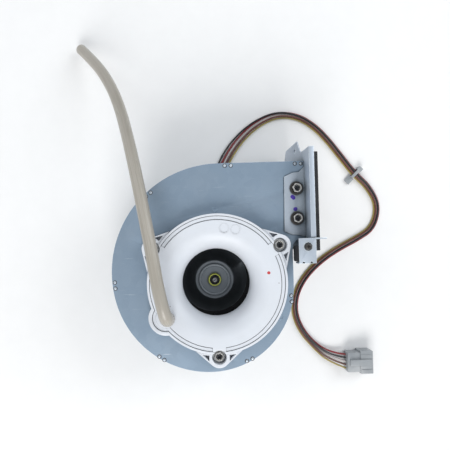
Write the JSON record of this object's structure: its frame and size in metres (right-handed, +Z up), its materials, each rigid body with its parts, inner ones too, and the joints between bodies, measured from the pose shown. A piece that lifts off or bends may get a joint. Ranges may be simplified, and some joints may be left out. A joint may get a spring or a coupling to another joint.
{
  "type": "combustion blower",
  "caption": "Gas-heater combustion blower: scroll housing, motor, spinning wheel, white inlet ring with pressure hose, outlet flange with gasket, and a wire harness with its plug.",
  "frame": {"origin": "on the wheel's rotation axis, at the motor's rear face, which rests on a surface", "axes": "+Z up the rotation axis out of the inlet, +X the way the outlet blows, +Y towards the scroll's straight wall"},
  "size_m": [0.2959, 0.3292, 0.1144],
  "materials": {
    "galvanised_sheet": "zinc-coated sheet, satin",
    "white_plastic": "moulded, matt white",
    "gasket_foam": "closed-cell foam, matt black",
    "seal_rubber": "silicone rubber, grey-black",
    "screw_zinc": "bright zinc",
    "washer_dark": "dark zinc",
    "washer_bright": "bright zinc",
    "hose_silicone": "translucent silicone rubber",
    "wire_black": "soft PVC insulation",
    "wire_red": "soft PVC insulation",
    "wire_white": "soft PVC insulation",
    "wire_brown": "soft PVC insulation",
    "wire_yellow": "soft PVC insulation",
    "natural_nylon": "natural nylon, slightly translucent",
    "wheel_metal": "dark blue-grey coated sheet",
    "nut_yellow": "yellow zinc",
    "hub_brass": "machined",
    "bright_steel": "ground steel",
    "motor_casing": "pressed, satin",
    "lamination": "stacked steel sheets",
    "copper_wire": "enamelled copper",
    "magnet_black": "sintered ferrite",
    "board_green": "solder mask",
    "spring_steel": "spring steel"
  },
  "bodies": {
    "housing": {"back_plate": "galvanised_sheet", "front_plate": "galvanised_sheet", "scroll_band": "galvanised_sheet", "outlet_flange": "galvanised_sheet", "corner_bracket": "galvanised_sheet", "stake_heads": "galvanised_sheet", "outlet_gasket": "gasket_foam", "corner_pad": "gasket_foam", "ring_seal": "seal_rubber", "wire_grommet": "seal_rubber", "ring_frame": "white_plastic", "inlet_cover": "white_plastic", "ring_screws": "screw_zinc", "flange_screws": "screw_zinc", "corner_screw": "screw_zinc", "motor_screws": "screw_zinc", "corner_nut": "screw_zinc", "ring_washers": "washer_bright", "flange_washers": "washer_dark", "hose": "hose_silicone", "wire_black": "wire_black", "wire_red": "wire_red", "wire_white": "wire_white", "wire_brown": "wire_brown", "wire_yellow": "wire_yellow", "connector_housing": "natural_nylon", "cable_tie": "natural_nylon", "connector_terminals": "bright_steel", "motor_can": "motor_casing", "motor_rear_cap": "motor_casing", "stator_core": "lamination", "stator_windings": "copper_wire", "driver_board": "board_green", "front_bearing_outer": "bright_steel", "rear_bearing_outer": "bright_steel", "bearing_balls": "bright_steel", "preload_washer": "spring_steel"},
    "rotor": {"shaft": "bright_steel", "rotor_core": "lamination", "rotor_magnet": "magnet_black", "front_bearing_inner": "bright_steel", "rear_bearing_inner": "bright_steel", "impeller_back_disc": "wheel_metal", "impeller_cone": "wheel_metal", "impeller_blades": "wheel_metal", "impeller_shroud": "wheel_metal", "hub_boss": "hub_brass", "hub_clip": "spring_steel", "clamp_disc": "wheel_metal", "lock_nut": "nut_yellow"}
  },
  "joints": [
    {"name": "rotor_spin", "type": "hinge", "parent": "housing", "child": "rotor", "pos_m": [0, 0, 0.03], "axis": [0, 0, 1], "continuous": true}
  ]
}
